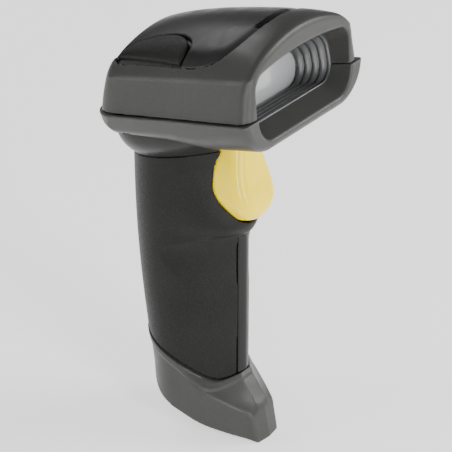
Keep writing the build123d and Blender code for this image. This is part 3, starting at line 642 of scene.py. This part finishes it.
# ---------------------------------------------------------------- materials
class Recipe:
    """A node material under construction."""

    def __init__(self, name, **values):
        self.material = bpy.data.materials.new(name)
        self.material.use_nodes = True
        self.nodes = self.material.node_tree.nodes
        self.links = self.material.node_tree.links
        self.shader = self.nodes["Principled BSDF"]
        self.place = self.nodes.new("ShaderNodeTexCoord").outputs["Object"]
        for socket, value in values.items():
            self.shader.inputs[socket.replace("_", " ")].default_value = value

    def node(self, kind, inputs=(), **settings):
        made = self.nodes.new(kind)
        for setting, value in settings.items():
            setattr(made, setting, value)
        for socket, value in dict(inputs).items():
            if isinstance(value, bpy.types.NodeSocket):
                self.links.new(value, made.inputs[socket])
            else:
                made.inputs[socket].default_value = value
        return made

    def noise(self, size, detail=3.0, rough=0.55):
        """Noise whose features are about size metres across."""
        values = {"Vector": self.place, "Scale": 1.0 / size, "Detail": detail, "Roughness": rough}
        return self.node("ShaderNodeTexNoise", values).outputs["Fac"]

    def pits(self, size):
        values = {"Vector": self.place, "Scale": 1.0 / size}
        return self.node("ShaderNodeTexVoronoi", values, feature="SMOOTH_F1").outputs["Distance"]

    def spread(self, value, low, high, start=0.3, end=0.7):
        """Maps a value between start and end onto low and high."""
        values = {"Value": value, "From Min": start, "From Max": end, "To Min": low, "To Max": high}
        return self.node("ShaderNodeMapRange", values).outputs["Result"]

    def blend(self, share, first, second):
        made = self.node("ShaderNodeMix", data_type="RGBA")
        self.links.new(share, made.inputs["Factor"])
        for socket, colour in (("A", first), ("B", second)):
            found = [i for i in made.inputs if i.name == socket and i.type == "RGBA"][0]
            if isinstance(colour, bpy.types.NodeSocket):
                self.links.new(colour, found)
            else:
                found.default_value = (*colour, 1.0)
        return [o for o in made.outputs if o.type == "RGBA"][0]

    def edges(self, low=0.505, high=0.56):
        """Rises on outer edges, where a painted highlight lightens the colour."""
        pointiness = self.node("ShaderNodeNewGeometry").outputs["Pointiness"]
        return self.spread(pointiness, 0.0, 1.0, low, high)

    def bump(self, height, distance, strength=1.0, below=None):
        values = {"Height": height, "Distance": distance, "Strength": strength}
        if below is not None:
            values["Normal"] = below
        return self.node("ShaderNodeBump", values).outputs["Normal"]

    def feed(self, socket, value):
        self.links.new(value, self.shader.inputs[socket])
        return self


def tone(colour, factor):
    return tuple(channel * factor for channel in colour)


def moulded(name, colour, rough, grain, depth, mottle=0.06, edge_highlight=1.35, shine=0.5, coat=0.0):
    """Injection-moulded plastic: fine grain, faint mottling, and a painted highlight that lightens convex
    edges.
    """
    make = Recipe(name, Specular_IOR_Level=shine, Coat_Weight=coat, Coat_Roughness=0.08)
    broad = make.spread(make.noise(0.018, 2.0), 0.0, 1.0)
    body = make.blend(broad, tone(colour, 1 - mottle), tone(colour, 1 + mottle))
    fleck = make.spread(make.noise(grain * 1.7, 1.0), 0.0, 0.5, 0.45, 0.7)
    body = make.blend(fleck, body, tone(colour, 1.22))
    # painted highlight: the colour is lightened on convex edges and rib crests to stand in for highlights
    rim = make.edges()
    make.feed("Base Color", make.blend(rim, body, tone(colour, edge_highlight)))
    dull = make.spread(make.noise(0.006, 4.0), rough - 0.05, rough + 0.06)
    make.feed("Roughness", dull)
    fine = make.bump(make.noise(grain, 2.0, 0.6), depth, 0.8)
    soft = make.bump(make.noise(0.012, 2.0), 0.00006, 0.5, fine)
    make.feed("Normal", soft)
    return make.material


def spark_grain(name, colour, rough):
    """Black plastic with the grain of a spark-eroded mould, and painted glints in the colour for its sparkle.
    """
    make = Recipe(name, Specular_IOR_Level=0.15)
    broad = make.spread(make.noise(0.02, 2.0), 0.0, 1.0)
    body = make.blend(broad, tone(colour, 0.85), tone(colour, 1.2))
    # painted highlight: tiny bright specks in the colour stand in for glints off the grain
    painted_glints = make.spread(make.noise(0.00045, 2.0, 0.7), 0.0, 1.0, 0.52, 0.72)
    make.feed("Base Color", make.blend(painted_glints, body, tone(colour, 2.2)))
    make.feed("Roughness", make.spread(make.noise(0.0006, 2.0), rough - 0.08, rough + 0.12))
    grain = make.bump(make.noise(0.0005, 3.0, 0.65), 0.00009, 0.9)
    make.feed("Normal", make.bump(make.pits(0.0011), 0.00006, 0.5, grain))
    return make.material


def glossy(name, colour, rough=0.12, coat=1.0, shine=0.5):
    """Polished plastic with a faint ripple from the mould."""
    make = Recipe(name, Coat_Weight=coat, Coat_Roughness=0.05, Specular_IOR_Level=shine)
    broad = make.spread(make.noise(0.01, 2.0), 0.0, 1.0)
    make.feed("Base Color", make.blend(broad, tone(colour, 0.97), tone(colour, 1.02)))
    make.feed("Roughness", make.spread(make.noise(0.002, 4.0), rough - 0.03, rough + 0.06))
    make.feed("Normal", make.bump(make.noise(0.004, 2.0), 0.00004, 0.4))
    return make.material


def trigger_yellow():
    """Polished through-coloured yellow."""
    colour = (0.98, 0.73, 0.0)
    make = Recipe("trigger_yellow", Coat_Weight=0.12, Coat_Roughness=0.1, Specular_IOR_Level=0.25)
    broad = make.spread(make.noise(0.008, 2.0), 0.0, 1.0)
    make.feed("Base Color", make.blend(broad, tone(colour, 0.97), colour))
    make.feed("Roughness", make.spread(make.noise(0.0025, 4.0), 0.2, 0.3))
    make.feed("Normal", make.bump(make.noise(0.0035, 2.0), 0.00004, 0.35))
    return make.material


def metal(name, colour, rough, stretch=(1.0, 1.0, 14.0)):
    """Drawn or stamped metal with fine lines along one direction."""
    make = Recipe(name, Metallic=1.0)
    scaled = make.node("ShaderNodeVectorMath", {0: make.place, 1: stretch}, operation="MULTIPLY").outputs[0]
    lines = make.node("ShaderNodeTexNoise", {"Vector": scaled, "Scale": 600.0, "Detail": 4.0}).outputs["Fac"]
    make.feed("Base Color", make.blend(lines, tone(colour, 0.8), colour))
    make.feed("Roughness", make.spread(lines, rough - 0.08, rough + 0.12))
    make.feed("Normal", make.bump(lines, 0.00001, 0.5))
    return make.material


def circuit(name, colour):
    """Solder mask over tracks, with plated pads."""
    make = Recipe(name, Coat_Weight=0.5, Coat_Roughness=0.15, Roughness=0.35)
    cells = make.node(
        "ShaderNodeTexVoronoi", {"Vector": make.place, "Scale": 420.0}, feature="F1", distance="CHEBYCHEV"
    ).outputs["Distance"]
    tracks = make.spread(cells, 1.0, 0.0, 0.30, 0.34)
    body = make.blend(tracks, tone(colour, 0.7), tone(colour, 1.5))
    pads = make.spread(make.pits(0.004), 1.0, 0.0, 0.10, 0.12)
    make.feed("Base Color", make.blend(pads, body, (0.72, 0.62, 0.38)))
    make.feed("Normal", make.bump(tracks, 0.00003, 0.6))
    return make.material


def clear_pane(name, colour, rough, weight, index=1.49):
    """Clear hard-coated acrylic or glass."""
    make = Recipe(name, Transmission_Weight=weight, IOR=index, Coat_Weight=0.3, Coat_Roughness=0.02)
    make.feed("Base Color", make.blend(make.spread(make.noise(0.02), 0.0, 1.0), colour, tone(colour, 0.96)))
    make.feed("Roughness", make.spread(make.noise(0.008, 2.0), rough, rough + 0.03))
    return make.material


def wrapped(name, colour, stripe):
    """Shrink sleeve with a paler band round one end."""
    make = Recipe(name, Coat_Weight=0.6, Coat_Roughness=0.12, Roughness=0.3)
    height = make.node("ShaderNodeSeparateXYZ", {0: make.place}).outputs["Z"]
    band = make.spread(height, 0.0, 1.0, 0.0835, 0.0837)
    body = make.blend(band, colour, stripe)
    make.feed("Base Color", make.blend(make.spread(make.noise(0.003), 0.0, 0.3), body, tone(colour, 0.7)))
    make.feed("Normal", make.bump(make.noise(0.002), 0.00003, 0.4))
    return make.material


def rubber(name, colour):
    make = Recipe(name, Specular_IOR_Level=0.3, Sheen_Weight=0.15, Sheen_Roughness=0.5)
    make.feed("Base Color", make.blend(make.noise(0.001), tone(colour, 0.7), tone(colour, 1.4)))
    make.feed("Roughness", make.spread(make.noise(0.002), 0.75, 0.92))
    make.feed("Normal", make.bump(make.noise(0.0006), 0.00005, 0.7))
    return make.material


def floor_sheet():
    """Pale seamless card."""
    make = Recipe("floor", Specular_IOR_Level=0.2)
    broad = make.spread(make.noise(0.15), 0.0, 1.0)
    make.feed("Base Color", make.blend(broad, (0.90, 0.90, 0.90), (0.93, 0.93, 0.93)))
    make.feed("Roughness", make.spread(make.noise(0.02), 0.75, 0.9))
    make.shader.inputs["Emission Color"].default_value = (1, 1, 1, 1)
    make.shader.inputs["Emission Strength"].default_value = 0.9
    return make.material


GREY = (0.038, 0.038, 0.036)
BLACK = (0.009, 0.009, 0.0085)
MATERIALS = {
    "grey_shell": moulded("grey_shell", GREY, 0.38, 0.0005, 0.00003, shine=0.28),
    "black_satin": moulded("black_satin", (0.013, 0.013, 0.0125), 0.32, 0.0004, 0.00002, 0.08, 1.6, 0.2),
    "black_grain": spark_grain("black_grain", BLACK, 0.42),
    "ribbed_black": moulded("ribbed_black", (0.045, 0.046, 0.047), 0.32, 0.0005, 0.00002, 0.1, 1.5),
    "window_clear": clear_pane("window_clear", (0.78, 0.80, 0.81), 0.1, 0.6, 1.6),
    "black_rubber": rubber("black_rubber", (0.015, 0.015, 0.015)),
    "trigger_yellow": trigger_yellow(),
    "steel": metal("steel", (0.62, 0.62, 0.61), 0.3),
    "spring_steel": metal("spring_steel", (0.55, 0.55, 0.56), 0.25, (1.0, 10.0, 1.0)),
    "switch_black": moulded("switch_black", (0.02, 0.02, 0.02), 0.4, 0.0003, 0.00001),
    "plunger_white": glossy("plunger_white", (0.70, 0.69, 0.64), 0.25, 0.4),
    "circuit_green": circuit("circuit_green", (0.020, 0.11, 0.045)),
    "light_bar_smoke": glossy("light_bar_smoke", (0.003, 0.003, 0.003), 0.1, 0.0, 0.12),
    "lamp_clear": glossy("lamp_clear", (0.80, 0.80, 0.70), 0.15),
    "engine_black": moulded("engine_black", (0.018, 0.018, 0.019), 0.5, 0.0004, 0.00002),
    "lens_glass": clear_pane("lens_glass", (0.55, 0.62, 0.85), 0.0, 0.8, 1.6),
    "brass": metal("brass", (0.72, 0.50, 0.20), 0.25),
    "ribbon_amber": glossy("ribbon_amber", (0.50, 0.22, 0.03), 0.3, 0.5),
    "chip_black": moulded("chip_black", (0.02, 0.02, 0.022), 0.55, 0.0003, 0.00002),
    "shield_metal": metal("shield_metal", (0.66, 0.66, 0.64), 0.35, (8.0, 1.0, 1.0)),
    "screw_steel": metal("screw_steel", (0.52, 0.52, 0.53), 0.3, (1.0, 1.0, 1.0)),
    "cell_wrap": wrapped("cell_wrap", (0.04, 0.16, 0.45), (0.55, 0.55, 0.52)),
    "inner_black": moulded("inner_black", (0.03, 0.03, 0.03), 0.5, 0.0004, 0.00002),
    "lead_red": glossy("lead_red", (0.50, 0.02, 0.02), 0.4, 0.2),
    "contact_gold": metal("contact_gold", (0.90, 0.66, 0.24), 0.2, (1.0, 1.0, 1.0)),
    "floor": floor_sheet(),
}


# ---------------------------------------------------------------- pieces
def pad_on(sign):
    return lambda x, s, n: pad(sign * x, s, n)


# Shells on the head: (name, field, low corner, high corner, cell, slot, node it replaces)
HEAD_SHELLS = [
    ("hood_shell", hood, (-34.5, -5.0, 0.0), (34.5, 72.0, 27.5), 0.5, "grey_shell", "upper_housing"),
    ("scan_funnel", funnel, (-27.4, 7, -7.4), (27.4, 20.6, 15.6), 0.45, "ribbed_black", "scan_bezel"),
    ("tray_shell", tray, (-36, -3.5, -14), (36, 73.5, 1), 0.55, "grey_shell", "lower_housing"),
    ("cover_shell", cover, (-27, 5, 14), (27, 64.5, 27.5), 0.4, "black_satin", "top_cover"),
    ("light_bar", light_bar, (-9.5, 5, 22), (9.5, 10, 27.5), 0.35, "light_bar_smoke", "status_light_bar"),
    ("pad_left", pad_on(1), (12.0, 28, 8), (26.5, 61.5, 26), 0.4, "black_grain", "side_pad_left"),
    ("pad_right", pad_on(-1), (-26.5, 28, 8), (-12.0, 61.5, 26), 0.4, "black_grain", "side_pad_right"),
    ("collar_shell", collar, (-26, 17, -21), (26, 77, -4), 0.5, "black_satin", "neck_collar"),
]
# Shells below it: (name, field, low corner, high corner, cell, body, slot, node it replaces)
LOWER_SHELLS = [
    ("grip_shell", handle, (-18.5, -14, 19), (18.5, 36, 128), 0.55, "housing", "black_grain", "handle_shell"),
    (
        "grip_strip", strip, (-3.5, -12, 21), (3.5, -8, 83), 0.35,
        "housing", "black_satin", "handle_front_strip",
    ),
    ("trigger_blade", trigger, (-11, -20, 87), (11, 3, 136), 0.42, "trigger", "trigger_yellow", "trigger"),
    ("foot_shell", foot, (-17.5, -23.5, -0.5), (17.5, 29, 38), 0.5, "housing", "grey_shell", "foot_cap"),
]


def build_shells():
    for name, field, low, high, cell, slot, node in HEAD_SHELLS:
        skin(name, field, low, high, cell, "housing", slot, [node], HEAD_FRAME)
    for name, field, low, high, cell, body, slot, node in LOWER_SHELLS:
        skin(name, field, low, high, cell, body, slot, [node])


# ---------------------------------------------------------------- stage
PHOTO_AZIMUTH = math.radians(-53.3)
PHOTO_ELEVATION = math.radians(29.6)
PHOTO_DISTANCE = 0.657
AIM = Vector((-0.0331, -0.0264, 0.1057))
SENSOR_WIDTH, LENS = 36.0, 159.3
FLOOR_HALF_SIZE = 3.0


def add_floor():
    size = FLOOR_HALF_SIZE
    mesh = bpy.data.meshes.new("floor")
    corners = [(-size, -size, 0), (size, -size, 0), (size, size, 0), (-size, size, 0)]
    mesh.from_pydata(corners, [], [(0, 1, 2, 3)])
    floor = bpy.data.objects.new("floor", mesh)
    floor.data.materials.append(MATERIALS["floor"])
    bpy.context.scene.collection.objects.link(floor)


def add_light(name, place, target, size, power):
    light = bpy.data.lights.new(name, "AREA")
    light.shape = "RECTANGLE"
    light.size, light.size_y = size
    light.energy = power
    lamp = bpy.data.objects.new(name, light)
    lamp.location = place
    lamp.rotation_euler = (Vector(target) - Vector(place)).to_track_quat("-Z", "Y").to_euler()
    bpy.context.scene.collection.objects.link(lamp)


def add_lights():
    world = bpy.data.worlds.new("studio")
    world.use_nodes = True
    world.node_tree.nodes["Background"].inputs["Color"].default_value = (1, 1, 1, 1)
    world.node_tree.nodes["Background"].inputs["Strength"].default_value = 0.3
    bpy.context.scene.world = world
    middle = (0, 0, 0.09)
    add_light("key", (-0.30, -0.95, 0.30), middle, (0.25, 0.8), 9.0)
    add_light("low", (-0.80, -0.55, 0.12), middle, (0.10, 0.22), 3.0)
    add_light("right", (0.75, -0.75, 0.55), middle, (0.5, 0.5), 10.0)
    add_light("left", (-0.7, 0.8, 0.45), middle, (0.3, 0.7), 4.0)
    add_light("back", (0.3, 0.8, 0.8), middle, (0.6, 0.4), 3.0)


def add_camera():
    camera = bpy.data.cameras.new("camera")
    camera.sensor_width = SENSOR_WIDTH
    camera.lens = LENS
    camera.clip_start = 0.01
    holder = bpy.data.objects.new("camera", camera)
    back = Vector((
        math.sin(PHOTO_AZIMUTH) * math.cos(PHOTO_ELEVATION),
        -math.cos(PHOTO_AZIMUTH) * math.cos(PHOTO_ELEVATION),
        math.sin(PHOTO_ELEVATION),
    ))
    holder.location = AIM + back * PHOTO_DISTANCE
    holder.rotation_euler = (-back).to_track_quat("-Z", "Y").to_euler()
    bpy.context.scene.collection.objects.link(holder)
    bpy.context.scene.camera = holder


def dress_cad_nodes():
    """The pieces kept from the frame take their slot's material."""
    slots = {row["node"]: row["material_slot"] for row in frame["record"]["subparts"]}
    for name, node in frame["nodes"].items():
        node.data.materials.clear()
        node.data.materials.append(MATERIALS[slots[name]])


dress_cad_nodes()
build_shells()
add_floor()
add_lights()
add_camera()
